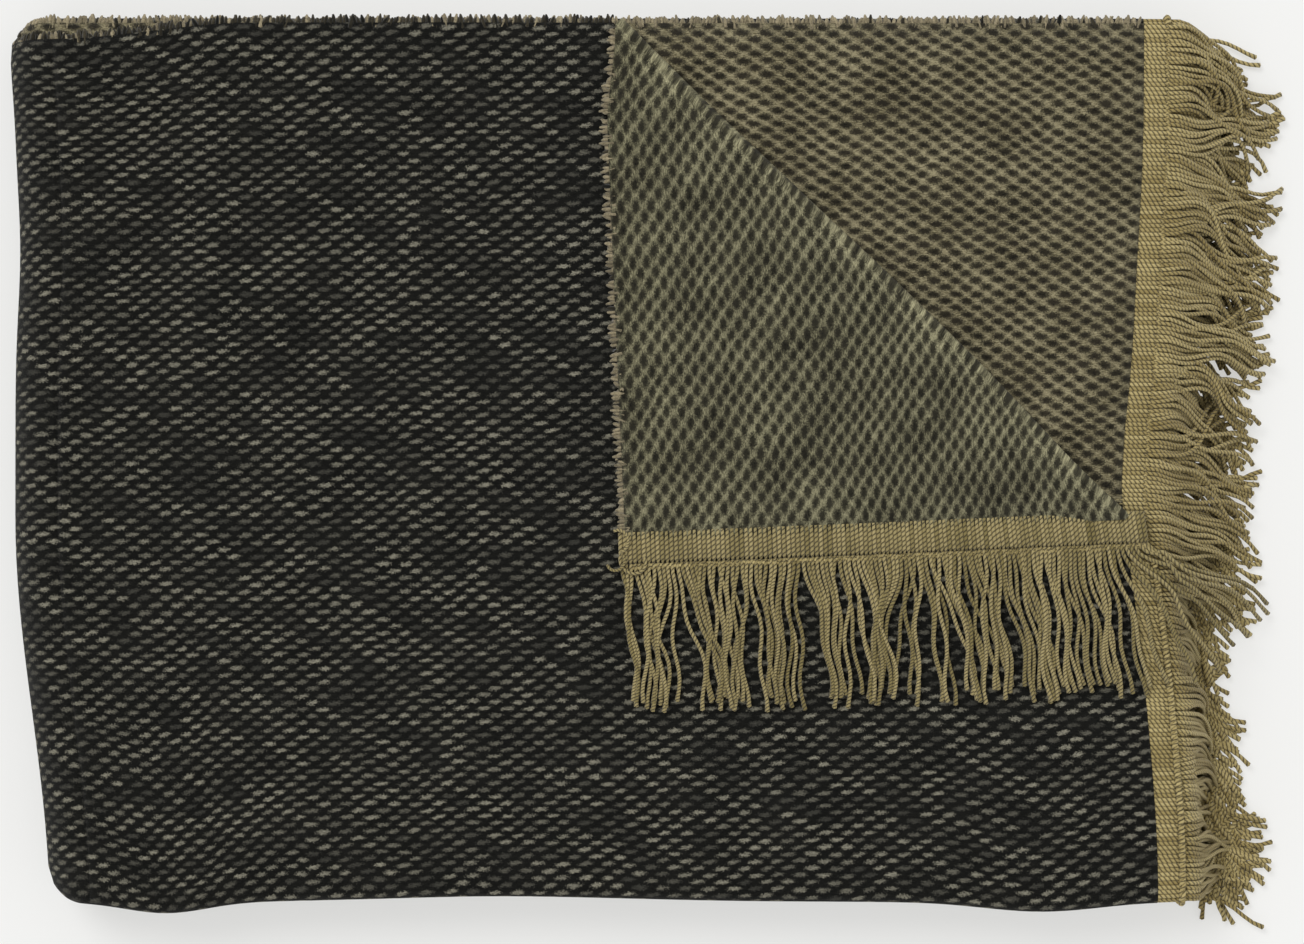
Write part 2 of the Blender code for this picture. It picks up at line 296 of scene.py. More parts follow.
def tube_piece(name, paths, radii, sides, material, up, shades):
    """Round tubes along many paths at once, each end closed over a small last ring.

    paths is (count, steps, 3) and radii (count, steps) or a number. Each ring is a circle in the plane
    across the path: side = tangent x up, then side x tangent. UV is (turns round the tube, mm along it),
    with a start along each tube drawn at random, and each tube has its own shade.
    """
    paths = np.asarray(paths, float)
    count, steps, _ = paths.shape
    radii = np.broadcast_to(radii, (count, steps)).copy()
    tangent = np.gradient(paths, axis=1)
    tangent /= np.linalg.norm(tangent, axis=-1, keepdims=True) + 1e-12
    side = np.cross(tangent, np.asarray(up, float))
    side /= np.linalg.norm(side, axis=-1, keepdims=True) + 1e-12
    other = np.cross(side, tangent)
    ends = tangent[:, [0, -1]] * radii[:, [0, -1], None] * 0.4
    centres = with_ends(paths, paths[:, :1] - ends[:, :1], paths[:, -1:] + ends[:, 1:])
    radii = with_ends(radii, radii[:, :1] * 0.02, radii[:, -1:] * 0.02)
    side = with_ends(side, side[:, :1], side[:, -1:])
    other = with_ends(other, other[:, :1], other[:, -1:])
    rings = steps + 2
    angle = np.arange(sides) * 2 * np.pi / sides
    circle = np.cos(angle)[:, None] * side[:, :, None] + np.sin(angle)[:, None] * other[:, :, None]
    points = centres[:, :, None] + radii[:, :, None, None] * circle
    tube, ring, spoke = np.meshgrid(np.arange(count), np.arange(rings - 1), np.arange(sides), indexing="ij")
    first = (tube * rings + ring) * sides
    after = (spoke + 1) % sides
    faces = np.stack([first + spoke, first + after, first + sides + after, first + sides + spoke], -1)
    piece = new_piece(name, points.reshape(-1, 3), faces.reshape(-1, 4), (material,))
    along = np.linalg.norm(np.diff(centres[0], axis=0), axis=-1)
    along = np.concatenate([[0], np.cumsum(along)]) / MM
    start = RNG.uniform(0, 8, count)[tube]
    near, far = along[ring] + start, along[ring + 1] + start
    turn, next_turn = spoke / sides, (spoke + 1) / sides
    corner_u = np.stack([turn, next_turn, next_turn, turn], -1)
    add_uvs(piece, np.stack([corner_u, np.stack([near, near, far, far], -1)], -1))
    add_attribute(piece.data, "shade", np.repeat(shades, rings * sides))
    return piece


# ---------------------------------------------------------------- materials


def linear(code):
    """sRGB hex to the linear colour that a shader takes."""
    parts = [int(code[k : k + 2], 16) / 255 for k in (1, 3, 5)]
    return tuple(p / 12.92 if p <= 0.04045 else ((p + 0.055) / 1.055) ** 2.4 for p in parts) + (1,)


def add(tree, kind, inputs=None, **settings):
    """Adds a node with its settings. An input is a number, a colour, or (node, output name) to link from."""
    made = tree.nodes.new("ShaderNode" + kind)
    for key, value in settings.items():
        setattr(made, key, value)
    for key, value in (inputs or {}).items():
        socket = made.inputs[key]
        if isinstance(value, tuple) and hasattr(value[0], "outputs"):
            tree.links.new(value[0].outputs[value[1]], socket)
        else:
            socket.default_value = value
    return made


def new_material(name, roughness, sheen, specular):
    """A material with a bare Principled shader: the constants are on the shader's own sockets."""
    made = bpy.data.materials.new(name)
    made.use_nodes = True
    shader = made.node_tree.nodes["Principled BSDF"]
    shader.inputs["Roughness"].default_value = roughness
    shader.inputs["Metallic"].default_value = 0
    shader.inputs["IOR"].default_value = 1.5
    shader.inputs["Specular IOR Level"].default_value = specular
    shader.inputs["Sheen Weight"].default_value = sheen
    shader.inputs["Sheen Roughness"].default_value = 0.5
    return made, made.node_tree, shader


def surface(tree, shader, colour, height=None, depth=None):
    """Links the colour, and the relief as a bump of that depth in metres."""
    tree.links.new(colour[0].outputs[colour[1]], shader.inputs["Base Color"])
    if height:
        bump = add(tree, "Bump", {"Height": height, "Strength": 0.8, "Distance": depth})
        tree.links.new(bump.outputs["Normal"], shader.inputs["Normal"])


DASH_PERIOD = 8.2  # mm between dashes along a row
ROW_PAIR = 5.1  # mm between rows that line up; the row between them is staggered by half a period
DASH_TILT = -0.13  # radians: the floats slant with the twist of the weft
NAP_LEAN = -0.25  # radians: the way the brushed fibres lie


def woven_dashes(tree, uv, size, first_row):
    """The dashes of one face: how much each spot belongs to one, and each dash's own tint.

    Rows of ellipses, every second row staggered by half a period. Slow noise bends the rows, and fibre
    noise frays each ellipse. The first row along the selvedge is scaled to be bolder.
    """
    place = add(tree, "SeparateXYZ", {"Vector": (uv, "UV")})
    near_edge = {"Value": (place, "Y"), "From Min": 5.5, "From Max": 4.0, "To Min": 1.0, "To Max": first_row}
    bold = add(tree, "MapRange", near_edge)
    slow = add(tree, "TexNoise", {"Vector": (uv, "UV"), "Scale": 0.05, "Detail": 2})
    fibre = add(tree, "TexNoise", {"Vector": (uv, "UV"), "Scale": 1.3, "Detail": 5, "Roughness": 0.7})
    bent = {0: (slow, "Color"), 1: (5.0, 3.5, 0), 2: (uv, "UV")}
    drift = add(tree, "VectorMath", bent, operation="MULTIPLY_ADD")
    frayed = {0: (fibre, "Color"), 1: (6.0, 3.4, 0), 2: (drift, "Vector")}
    ragged = add(tree, "VectorMath", frayed, operation="MULTIPLY_ADD")
    period = (DASH_PERIOD, ROW_PAIR, 0)
    to_middle = (-DASH_PERIOD / 2, -ROW_PAIR / 2, 0)
    rows = []
    for shift in ((0.0, 0.0, 0.0), (0.5, 0.5, 0.0)):
        scaled = {0: (ragged, "Vector"), 1: (1 / DASH_PERIOD, 1 / ROW_PAIR, 0), 2: shift}
        cell = add(tree, "VectorMath", scaled, operation="MULTIPLY_ADD")
        inside = add(tree, "VectorMath", {0: (cell, "Vector")}, operation="FRACTION")
        centred = {0: (inside, "Vector"), 1: period, 2: to_middle}
        in_mm = add(tree, "VectorMath", centred, operation="MULTIPLY_ADD")
        ellipse = {"Vector": (in_mm, "Vector"), "Rotation": (0, 0, DASH_TILT), "Scale": (*size, 1)}
        tilted = add(tree, "Mapping", ellipse, vector_type="TEXTURE")
        square = {0: (tilted, "Vector"), 1: (tilted, "Vector")}
        reach = add(tree, "VectorMath", square, operation="DOT_PRODUCT")
        bolder = add(tree, "Math", {0: (reach, "Value"), 1: (bold, "Result")}, operation="MULTIPLY")
        soft_edge = {"Value": (bolder, "Value"), "From Min": 1.8, "From Max": 0.12}
        edge = add(tree, "MapRange", soft_edge, interpolation_type="SMOOTHSTEP")
        number = add(tree, "VectorMath", {0: (cell, "Vector")}, operation="FLOOR")
        chance = add(tree, "TexWhiteNoise", {"Vector": (number, "Vector")}, noise_dimensions="3D")
        own = add(tree, "Math", {0: (edge, "Result"), 1: (chance, "Value")}, operation="MULTIPLY")
        rows.append((edge, own))
    either = {0: (rows[0][0], "Result"), 1: (rows[1][0], "Result")}
    tints = {0: (rows[0][1], "Value"), 1: (rows[1][1], "Value")}
    return add(tree, "Math", either, operation="MAXIMUM"), add(tree, "Math", tints, operation="MAXIMUM")


def brushed_cloth(name, ground, dash, size, nap, softness, cover, first_row):
    """Raised cotton double cloth: two yarn colours trade faces in short staggered dashes.

    The brush pulls fibres out of the yarns, so dashes are frayed leaf shapes, each keeps its own tint,
    and the nap lies in short streaks that scatter light with almost no gloss. On a sharp fold the colour
    is lightened as a painted highlight (the crest value of the surface). Ground and dash are pairs of
    colours, size is a dash's half length and half width in mm, and cover is what a streak leaves of a dash.
    """
    made, tree, shader = new_material(name, 0.95, softness, 0.12)
    uv = add(tree, "UVMap", uv_map="cloth_mm")
    mask, tint = woven_dashes(tree, uv, size, first_row)
    combed = {"Vector": (uv, "UV"), "Rotation": (0, 0, NAP_LEAN), "Scale": (0.55, 1.9, 1)}
    streak_uv = add(tree, "Mapping", combed)
    fine = {"Vector": (streak_uv, "Vector"), "Scale": 1.2, "Detail": 5, "Roughness": 0.75}
    streak = add(tree, "TexNoise", fine)
    cloud = add(tree, "TexNoise", {"Vector": (uv, "UV"), "Scale": 0.05, "Detail": 3, "Roughness": 0.6})
    both = {0: (cloud, "Fac"), 1: 0.35, 2: (streak, "Fac")}
    mixed = add(tree, "Math", both, operation="MULTIPLY_ADD")
    bright = add(tree, "MapRange", {"Value": (mixed, "Value"), "From Min": 0.53, "From Max": 0.82})
    ground_mix = {"Factor": (bright, "Result"), "A": linear(ground[0]), "B": linear(ground[1])}
    base = add(tree, "Mix", ground_mix, data_type="RGBA")
    dash_mix = {"Factor": (tint, "Value"), "A": linear(dash[0]), "B": linear(dash[1])}
    spot = add(tree, "Mix", dash_mix, data_type="RGBA")
    thinned = {"Value": (streak, "Fac"), "From Min": 0.36, "From Max": 0.58, "To Min": cover, "To Max": 1.0}
    streaked = add(tree, "MapRange", thinned)
    covering = {0: (mask, "Value"), 1: (streaked, "Result")}
    ragged_mask = add(tree, "Math", covering, operation="MULTIPLY")
    woven = {"Factor": (ragged_mask, "Value"), "A": (base, "Result"), "B": (spot, "Result")}
    colour = add(tree, "Mix", woven, data_type="RGBA")
    crest = add(tree, "Attribute", attribute_name="crest")
    # Painted highlight: along the fold's crest the colour is brightened up to 1.7 times.
    painted_crest_highlight = add(tree, "Math", {0: (crest, "Fac"), 1: 0.7, 2: 1.0}, operation="MULTIPLY_ADD")
    paler = add(tree, "VectorMath", {0: (colour, "Result"), "Scale": (painted_crest_highlight, "Value")}, operation="SCALE")
    raised = {0: (mask, "Value"), 1: 0.5, 2: (streak, "Fac")}
    relief = add(tree, "Math", raised, operation="MULTIPLY_ADD")
    surface(tree, shader, (paler, "Vector"), (relief, "Value"), nap * MM)
    return made


def twisted_cord(name, deep, body, light):
    """Two-ply cotton cord, plied and mercerised: slanting plies with dark grooves and a dull gleam.

    The plies are a zigzag of the phase, which is twice the turn round the cord plus the way along it
    over the twist. The grooves between the plies get a dark colour as painted shade. Each cord has its
    own shade, and slow patches of dye run over all of them.
    """
    made, tree, shader = new_material(name, 0.72, 0.15, 0.3)
    uv = add(tree, "UVMap", uv_map="cloth_mm")
    split = add(tree, "SeparateXYZ", {"Vector": (uv, "UV")})
    turns = add(tree, "Math", {0: (split, "X"), 1: 2.0}, operation="MULTIPLY")
    slanted = {0: (split, "Y"), 1: 1 / CORD_TWIST, 2: (turns, "Value")}
    phase = add(tree, "Math", slanted, operation="MULTIPLY_ADD")
    folded = add(tree, "Math", {0: (phase, "Value"), 1: 0.5}, operation="PINGPONG")
    groove = {"Value": (folded, "Value"), "From Min": -0.06, "From Max": 0.28}
    ply = add(tree, "MapRange", groove, interpolation_type="SMOOTHSTEP")
    place = add(tree, "TexCoord")
    fuzz = {"Vector": (place, "Object"), "Scale": 900, "Detail": 4, "Roughness": 0.7}
    fibre = add(tree, "TexNoise", fuzz)
    patch = add(tree, "TexNoise", {"Vector": (place, "Object"), "Scale": 45, "Detail": 2})
    shade = add(tree, "Attribute", attribute_name="shade")
    rounded = {0: (fibre, "Fac"), 1: 0.35, 2: (ply, "Result")}
    height = add(tree, "Math", rounded, operation="MULTIPLY_ADD")
    own = add(tree, "Math", {0: (shade, "Fac"), 1: (patch, "Fac")}, operation="ADD")
    paler = add(tree, "MapRange", {"Value": (own, "Value"), "From Min": 0.35, "From Max": 1.35})
    dyed = {"Factor": (paler, "Result"), "A": linear(body), "B": linear(light)}
    yarn = add(tree, "Mix", dyed, data_type="RGBA")
    # Painted shade: the grooves between the plies take the dark colour.
    plied = {"Factor": (ply, "Result"), "A": linear(deep), "B": (yarn, "Result")}
    colour = add(tree, "Mix", plied, data_type="RGBA")
    surface(tree, shader, (colour, "Result"), (height, "Value"), 0.35 * MM)
    return made


def cut_yarn(name, dark, light):
    """Ends of the brushed yarns at the raw selvedge: each tuft is one colour or the other, dull and fuzzy."""
    made, tree, shader = new_material(name, 0.95, 0.2, 0.1)
    shade = add(tree, "Attribute", attribute_name="shade")
    place = add(tree, "TexCoord")
    fibre = add(tree, "TexNoise", {"Vector": (place, "Object"), "Scale": 1400, "Detail": 3})
    either = {"Factor": (shade, "Fac"), "A": linear(dark), "B": linear(light)}
    colour = add(tree, "Mix", either, data_type="RGBA")
    darkened = {"Value": (fibre, "Fac"), "From Min": 0.3, "From Max": 0.6, "To Min": 0.55, "To Max": 1.1}
    deeper = add(tree, "MapRange", darkened)
    worn = add(tree, "VectorMath", {0: (colour, "Result"), "Scale": (deeper, "Result")}, operation="SCALE")
    surface(tree, shader, (worn, "Vector"))
    return made


CORD_TWIST = 1.7  # mm along a cord from one ply to the next

# The face that shows on the closed stack: near black, with scattered greyish dashes that sparkle a little.
DARK_FACE = brushed_cloth(
    "brushed_cotton_charcoal_face", ("#070806", "#1a1a17"), ("#42413b", "#989483"),
    size=(2.5, 0.84), nap=0.5, softness=0.05, cover=0.3, first_row=1.0,
)
# The reverse: warm grey-beige, dotted evenly with near-black dashes, boldest along the selvedge.
BEIGE_FACE = brushed_cloth(
    "brushed_cotton_taupe_face", ("#504932", "#b4aa87"), ("#080706", "#211d18"),
    size=(2.75, 1.38), nap=0.7, softness=0.06, cover=0.8, first_row=0.45,
)
# The same reverse in painted shade: darker, greyer and greener, its nap lying away from the light,
# so the turned corner stands out.
TURNED_FACE = brushed_cloth(
    "brushed_cotton_taupe_nap_turned_away", ("#3d3a2b", "#a5a07f"), ("#090807", "#201e19"),
    size=(2.75, 1.35), nap=0.7, softness=0.06, cover=0.75, first_row=0.8,
)
# Raw yarn ends: a speckled black and beige rim along every selvedge.
YARN_ENDS = cut_yarn("cut_yarn_selvedge", "#141410", "#a3977a")
# Fringe, tapes and ropes: khaki, dull gleam, fine dark slants of painted shade in the grooves show the twist.
CORD = twisted_cord("two_ply_cotton_cord", "#2c230c", "#917f4b", "#bcab76")
# The turned corner's cords, seen on their other side: the same khaki, a tone deeper as painted shade.
SHADED_CORD = twisted_cord("two_ply_cotton_cord_deeper_dye", "#251e0a", "#7d7042", "#a8996a")


# ---------------------------------------------------------------- the cloth

ARC_STEPS = 8  # segments of a fold's half circle
FOLDED = 16  # rows of a flat layer that the layers above hide


def arc_rows(centre_y, centre_z, radius, from_top, side, steps):
    """Half circle round a fold of the width, without its two end points."""
    angle = np.pi * np.arange(1, steps) / steps
    turn = 1 if from_top else -1
    return centre_y + side * radius * np.sin(angle), centre_z + turn * radius * np.cos(angle)


def section(strip, flat_steps, arc_steps):
    """The folded section of a strip after L1: outer fold, L4, upper fold, L3, inner fold, L2.

    Returns y, z and v, the way travelled through the cloth from the selvedge of L1.
    """
    way = facing(strip)
    upright = way == 1
    middle = middle_z(strip)
    flat = np.linspace(0, 1, flat_steps)
    y_l4, z_l4 = BEND_Y + (UPPER_Y - BEND_Y) * flat, np.full(flat_steps, middle - way * OUTER)
    y_l3, z_l3 = y_l4[::-1], np.full(flat_steps, middle - way * INNER)
    y_l2, z_l2 = BEND_Y + (SELVEDGE - BEND_Y) * flat, np.full(flat_steps, middle + way * INNER)
    y_a, z_a = arc_rows(BEND_Y, middle, OUTER, upright, -1, arc_steps)
    y_b, z_b = arc_rows(UPPER_Y, middle - way * PITCH, INNER, not upright, 1, arc_steps)
    y_c, z_c = arc_rows(BEND_Y, middle, INNER, not upright, -1, arc_steps)
    y = np.concatenate([y_a, y_l4, y_b, y_l3, y_c, y_l2])
    z = np.concatenate([z_a, z_l4, z_b, z_l3, z_c, z_l2])
    step = np.hypot(np.diff(y, prepend=BEND_Y), np.diff(z, prepend=middle + way * OUTER))
    return y, z, SELVEDGE - BEND_Y + np.cumsum(step)


def strip_rows(strip, first_y, top_steps, flat_steps):
    """Rows of a whole strip for every column: L1 from first_y (one per column) down, then the rest."""
    y_top = first_y[:, None] + (BEND_Y - first_y[:, None]) * np.linspace(0, 1, top_steps)
    z_top = np.full_like(y_top, middle_z(strip) + facing(strip) * OUTER)
    rest = [np.broadcast_to(row, (len(first_y), len(row))) for row in section(strip, flat_steps, ARC_STEPS)]
    tops = (y_top, z_top, SELVEDGE - y_top)
    return [np.concatenate([top, row], 1) for top, row in zip(tops, rest)]


def slip(x, y):
    """How far the top layer has slipped down beside the left fold, 6 mm at most: the next layer shows."""
    return 6 * MM * (1 - smooth(x, BOOK_X, BOOK_X + 70 * MM)) * smooth(y, SELVEDGE - 60 * MM, SELVEDGE)


def crease_y(x):
    """Y of the diagonal at x."""
    return HINGE[1] - (x - HINGE[0]) * OUT[0] / OUT[1]


def sheet_of(name, points, u, v, flip, reverse=BEIGE_FACE):
    """A cloth piece from a grid of points with its UV in millimetres of the woven cloth."""
    faces = grid_faces(*v.shape)
    if flip:
        faces = faces[:, ::-1]
    piece = new_piece(name, relax(points).reshape(-1, 3), faces, (DARK_FACE, reverse, YARN_ENDS))
    add_uvs(piece, (np.stack([u.ravel(), v.ravel()], -1) / MM)[faces])
    return cloth_thickness(piece, CLOTH - 0.1 * MM)


def strip_cloth(name, strip, end, columns, top_steps, flat_steps, cut_corner=False):
    """A strip of four layers: its section swept along X. The front one's L1 ends at the diagonal."""
    x = np.linspace(BOOK_X, end, columns)
    if cut_corner:
        x = np.unique(np.append(x, HINGE[0]))
    first_y = np.minimum(SELVEDGE, crease_y(x)) if cut_corner else np.full(len(x), SELVEDGE)
    y, z, v = strip_rows(strip, first_y, top_steps, flat_steps)
    x_grid = np.broadcast_to(x[:, None], y.shape)
    if strip == FRONT:
        y[:, :top_steps] -= slip(x_grid, y)[:, :top_steps]
    return sheet_of(name, np.stack([x_grid, y, z], -1), x_grid, v, flip=strip in (SECOND, BASE))


def wrap_cloth(name, strip, axis_x, axis_z, way, columns, flat_steps):
    """A fold of the length: the strip's section turned half round the fold's axis, towards way."""
    turn = np.linspace(0, np.pi, columns)[:, None]
    y, z, v = strip_rows(strip, np.full(columns, SELVEDGE), flat_steps, flat_steps)
    radius = z - axis_z
    if strip == FRONT:
        y[:, :flat_steps] -= (slip(LEFT, y) * (1 - smooth(turn, np.pi / 2, np.pi)))[:, :flat_steps]
    points = np.stack([axis_x + way * radius * np.sin(turn), y, axis_z + radius * np.cos(turn)], -1)
    flip = (strip in (SECOND, BASE)) != (way < 0)
    return sheet_of(name, points, axis_x + way * np.abs(radius) * turn, v, flip=flip)


def turned_cloth(name):
    """The turned corner: an elliptic bend over the diagonal, then the flap lying back on the front.

    A column keeps its x in the cloth. Past the diagonal, a distance n becomes the angle round the bend
    (over 2 mm out and half the rise) and then a way back across the front, mirrored in the diagonal.
    The flap stands 1.3 mm higher at the bend and settles as e to the minus distance over 8 mm. The
    crest, a painted highlight along the bend, fades in the same way over 4.5 mm.
    """
    bulge = 2.0 * MM
    lift = 1.3 * MM
    bend_steps = 9
    flap_steps = 56
    up = np.array([0, 0, 1])
    x = np.linspace(HINGE[0] + 0.4 * MM, CLOTH_EDGE, 76)
    edge = crease_y(x)
    foot = np.stack([x, edge, np.zeros_like(x)], -1)[:, None]
    angle = np.linspace(0, np.pi, bend_steps)[:, None]
    rise = FLAP_Z + lift - TOP_Z
    bend = foot + bulge * np.sin(angle) * OUT + (TOP_Z + rise * (1 - np.cos(angle)) / 2) * up
    y = edge[:, None] + (SELVEDGE - edge[:, None]) * np.linspace(0, 1, flap_steps)[None, 1:]
    across = (y - edge[:, None]) * OUT[1]
    along = (y - edge[:, None]) * ALONG[1]
    height = FLAP_Z + lift * np.exp(-across / (8 * MM))
    flap = foot + along[..., None] * ALONG - across[..., None] * OUT + height[..., None] * up
    travelled = np.linspace(-bulge, 0, bend_steps)
    v = np.concatenate([SELVEDGE - edge[:, None] - travelled, SELVEDGE - y], 1)
    u = np.broadcast_to(x[:, None], v.shape)
    # The crest value paints a highlight over the bend and on the flap beside it.
    crest_bend = np.broadcast_to(np.sin(angle[:, 0]) * 0.5 + 0.5, (len(x), bend_steps))
    crest = np.concatenate([crest_bend, np.exp(-across / (4.5 * MM))], 1)
    piece = sheet_of(name, np.concatenate([bend, flap], 1), u, v, flip=True, reverse=TURNED_FACE)
    add_attribute(piece.data, "crest", crest)
    return piece


def bend_with_book(piece):
    """Bakes the piece's placement into its mesh, where it stays: nothing is bent round the left fold."""
    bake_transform(piece)


def make_cloth():
    front = strip_cloth("front_strip_cloth", FRONT, CLOTH_EDGE, 100, 84, 18, cut_corner=True)
    second = strip_cloth("second_strip_cloth", SECOND, CLOTH_EDGE, 60, FOLDED, FOLDED)
    third = strip_cloth("third_strip_cloth", THIRD, CENTRE_X, 60, FOLDED, FOLDED)
    base = strip_cloth("base_strip_cloth", BASE, CENTRE_X, 60, FOLDED, FOLDED)
    outer = wrap_cloth("left_outer_wrap", FRONT, BOOK_X, BOOK_Z, -1, 25, 40)
    inner = wrap_cloth("left_inner_wrap", SECOND, BOOK_X, BOOK_Z, -1, 17, 24)
    centre = wrap_cloth("right_centre_wrap", THIRD, CENTRE_X, CENTRE_Z, 1, 17, 24)
    turned = turned_cloth("turned_corner_cloth")
    for piece, body, node in (
        (front, "upper_half", "front_leaf"),
        (second, "upper_half", "second_leaf"),
        (third, "lower_half", "third_leaf"),
        (base, "lower_half", "base_leaf"),
        (centre, "lower_half", "right_centre_fold"),
    ):
        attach(piece, body)
        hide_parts(node)
    bend_with_book(outer)
    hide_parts("left_outer_fold")
    bend_with_book(inner)
    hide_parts("left_inner_fold")
    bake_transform(turned)
    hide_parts("corner_flap", "corner_crease")


# ---------------------------------------------------------------- tapes, edge ropes and fringes


def section_places(strip, spacing, first_y):
    """Points spaced evenly along a strip's section from L1 at first_y: y and z of each."""
    y, z, v = section(strip, 40, 12)
    top_y = np.linspace(first_y, BEND_Y, 60)
    y = np.concatenate([top_y, y])
    z = np.concatenate([np.full(60, middle_z(strip) + facing(strip) * OUTER), z])
    v = np.concatenate([SELVEDGE - top_y, v])
    at = np.arange(v[0] + spacing / 2, v[-1], spacing)
    return np.interp(at, v, y), np.interp(at, v, z)


def clumps(count, smallest, largest):
    """Numbers neighbouring cords by clump: runs of random length. Also returns how many clumps there are."""
    sizes = RNG.integers(smallest, largest + 1, count)
    group = np.repeat(np.arange(count), sizes)[:count]
    return group, group.max() + 1


def clump_middle(values, group, groups):
    """The mean of the values in each cord's clump."""
    return np.bincount(group, values, groups)[group] / np.bincount(group, minlength=groups)[group]


def uneven(middle, of_clump, of_cord, group, groups):
    """A random value per cord: its clump's own, plus a small one of the cord itself."""
    return RNG.normal(middle, of_clump, groups)[group] + RNG.normal(0, of_cord, len(group))


def uneven_phase(of_cord, group, groups):
    """The same for the phase of a wave."""
    return RNG.uniform(0, 2 * np.pi, groups)[group] + RNG.normal(0, of_cord, len(group))


TAPE_STOPS = (CLOTH_END - 1.5 * MM, CLOTH_END + 3 * MM, TAPE_OUT - 2.0 * MM, TAPE_OUT - 0.8 * MM)
TAPE_RADII = np.array([0.52, 0.56, 0.52, 0.3]) * CORD_PITCH  # at those stops; the last is stitched down
LEAVES = TAPE_OUT - 0.6 * MM  # where a cord leaves the tape


def tape_piece(name, places, body, node, cord):
    """A header tape: cords packed side by side across it, pinched by the stitches at its outer edge."""
    up = (0, 0, 1) if body == "turned_corner" else (0, 1, 0)
    radii = np.broadcast_to(TAPE_RADII, (len(places), 4))
    piece = tube_piece(name, relax(places), radii, 6, cord, up, RNG.uniform(0, 1, len(places)))
    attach(piece, body)
    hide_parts(node)


def free_cords(name, rows, body, nodes, cord, up):
    """Free cords through rows of points, kept off the floor: narrower at the tape, frayed open at the tip."""
    paths = relax(np.stack(rows, 1))
    paths[..., 2] = np.maximum(paths[..., 2], CORD_RADIUS)
    radii = np.full(paths.shape[:2], CORD_RADIUS)
    radii[:, 0] = 0.45 * CORD_PITCH
    radii[:, -1] *= 1.25
    piece = tube_piece(name, paths, radii, CORD_SIDES, cord, up, RNG.uniform(0, 1, len(paths)))
    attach(piece, body)
    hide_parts(*nodes)
    return piece


def hanging_cords(name, strip, first_y, nodes, tape_node):
    """A tape, and the cords that leave its outer edge and hang over the side of the stack.

    Each cord is walked step by step. Its heading in plan turns by its clump's swing over the first 40 mm
    and wavers as a sine 34 mm long; its slope steepens over the first 14 mm to the hang's angle, which is
    steeper lower down the stack; and its clump draws together as it goes. A cord that reaches the floor
    lies on it and curls aside. The bottom clumps swing back up, but the last few cords stray downwards.
    """
    y0, z0 = section_places(strip, CORD_PITCH, first_y)
    count = len(y0)
    group, groups = clumps(count, 5, 11)
    swing = uneven(-0.24, 0.26, 0.10, group, groups) - 0.5 * smooth(-y0, 30 * MM, 80 * MM)
    swing += 1.1 * smooth(-y0, 125 * MM, 156 * MM) - 0.7 * smooth(y0, 120 * MM, 158 * MM)
    swing -= 0.75 * smooth(-y0, 157.5 * MM, 160 * MM)
    centre = clump_middle(y0, group, groups)
    draw = RNG.uniform(0.4, 0.9, groups)[group]
    under = 1 - smooth(z0, TOP_Z - 5 * PITCH, TOP_Z - 3 * PITCH)
    shorter = (0.12 + 0.1 * smooth(-y0, 0, 60 * MM)) * under
    length = FRINGE_LENGTH * (RNG.uniform(0.9, 1.04, count) - shorter)
    steep = 41 + 33 * smooth(-y0, 10 * MM, 70 * MM) * (1 - under) + 40 * under
    slope_end = np.radians(steep + uneven(0, 5, 4, group, groups))
    curl = uneven(-0.25, 0.6, 0.2, group, groups)
    wave = uneven_phase(0.5, group, groups)
    step = length / CORD_STEPS
    stops = np.stack([np.stack([np.full(count, at), y0, z0], -1) for at in TAPE_STOPS], 1)
    tape_piece(name + "_tape_cords", stops, "upper_half", tape_node, CORD)
    x, y, z = np.full(count, TAPE_OUT), y0.copy(), z0.copy()
    rows = [np.stack([np.full(count, LEAVES), y, z], -1)]
    floor_lift = CORD_RADIUS + RNG.uniform(0, 2.4 * MM, count)
    on_floor = np.zeros(count)
    for k in range(1, CORD_STEPS + 1):
        gone = k * step
        landed = z <= floor_lift + 0.2 * MM
        on_floor = on_floor + np.where(landed, step, 0)
        slope = np.where(landed, 0, slope_end * smooth(gone, -2 * MM, 14 * MM))
        heading = 1.6 * swing * smooth(gone, 2 * MM, 40 * MM) + curl * smooth(on_floor, 0, 9 * MM)
        heading += 0.3 * np.sin(2 * np.pi * gone / (34 * MM) + wave) * smooth(gone, 0, 9 * MM)
        x = x + step * np.cos(slope) * np.cos(heading)
        y = y + step * np.cos(slope) * np.sin(heading)
        z = np.maximum(z - step * np.sin(slope), floor_lift)
        pull = draw * smooth(k / CORD_STEPS, 0.05, 0.9) * (centre - y0)
        rows.append(np.stack([x, y + pull, z], -1))
    piece = free_cords(name + "_fringe_cords", rows, "upper_half", nodes, CORD, (0, 1, 0))
    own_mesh(piece)


def mirrored(x, y):
    """A place beyond the diagonal, mirrored onto the front."""
    off = past_diagonal(x, y)
    return x - 2 * off * OUT[0], y - 2 * off * OUT[1]


